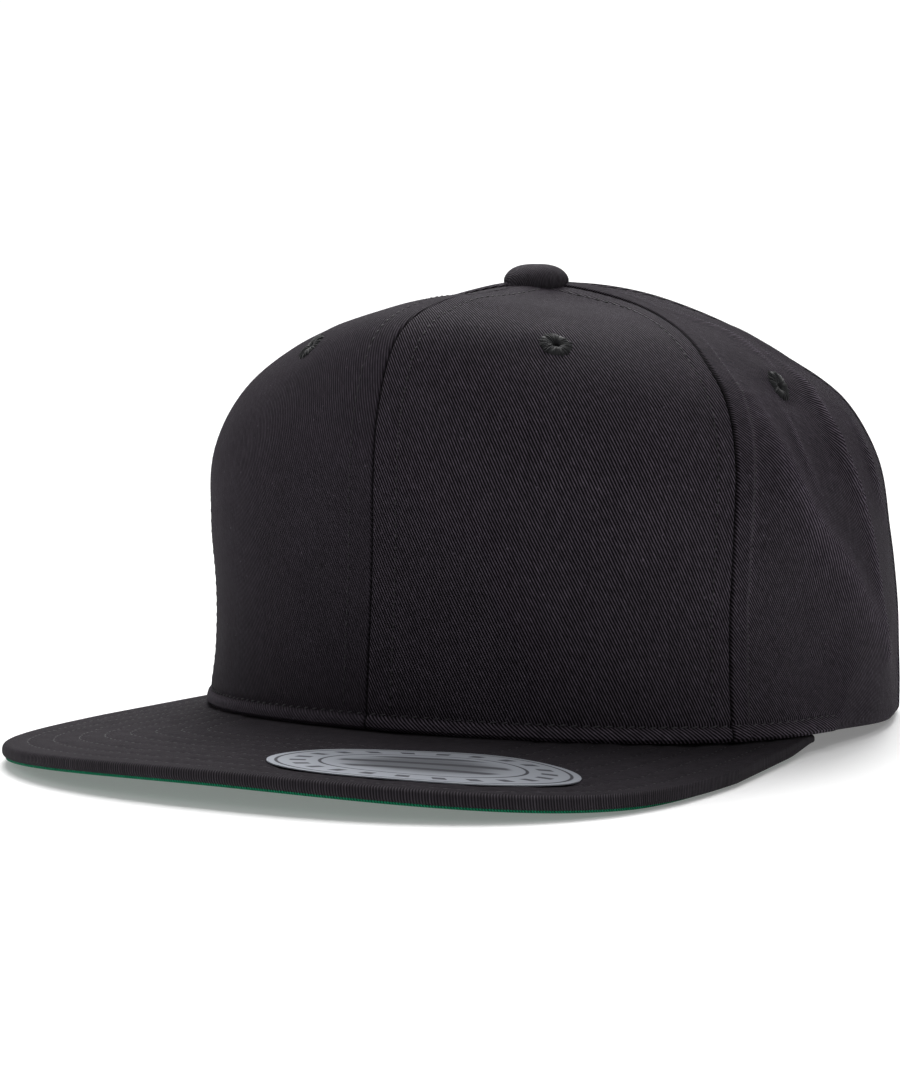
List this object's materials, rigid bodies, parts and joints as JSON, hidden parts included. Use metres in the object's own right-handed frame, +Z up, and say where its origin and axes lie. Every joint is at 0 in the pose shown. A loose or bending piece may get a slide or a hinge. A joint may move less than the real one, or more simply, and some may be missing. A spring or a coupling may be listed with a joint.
{
  "type": "snapback cap",
  "caption": "Structured cap with a rounded crown of sewn panels, a flat peak, an arch opening behind and a plastic snap strap.",
  "frame": {"origin": "middle of the footprint, on the surface that the cap rests on", "axes": "+Z up; the peak points along -Y; +X is towards the wearer's left"},
  "size_m": [0.1812, 0.268, 0.1199],
  "materials": {
    "crown_twill": "black cotton twill, matt",
    "peak_twill": "black cotton twill over a stiff board, matt",
    "eyelet_thread": "black sewing thread",
    "underside_twill": "green cotton twill, matt",
    "label_foil": "silver-grey sticker, satin",
    "band_cloth": "black cotton, plain",
    "strap_plastic": "black moulded plastic, satin"
  },
  "bodies": {
    "root": {"panel_front_left": "crown_twill", "panel_front_right": "crown_twill", "panel_side_left": "crown_twill", "panel_side_right": "crown_twill", "panel_back_left": "crown_twill", "panel_back_right": "crown_twill", "top_button": "crown_twill", "eyelet_front_left": "eyelet_thread", "eyelet_front_right": "eyelet_thread", "eyelet_side_left": "eyelet_thread", "eyelet_side_right": "eyelet_thread", "eyelet_back_left": "eyelet_thread", "eyelet_back_right": "eyelet_thread", "peak": "peak_twill", "peak_underside": "underside_twill", "peak_label": "label_foil", "sweatband": "band_cloth", "strap_holes": "strap_plastic", "strap_pegs": "strap_plastic"}
  },
  "joints": []
}
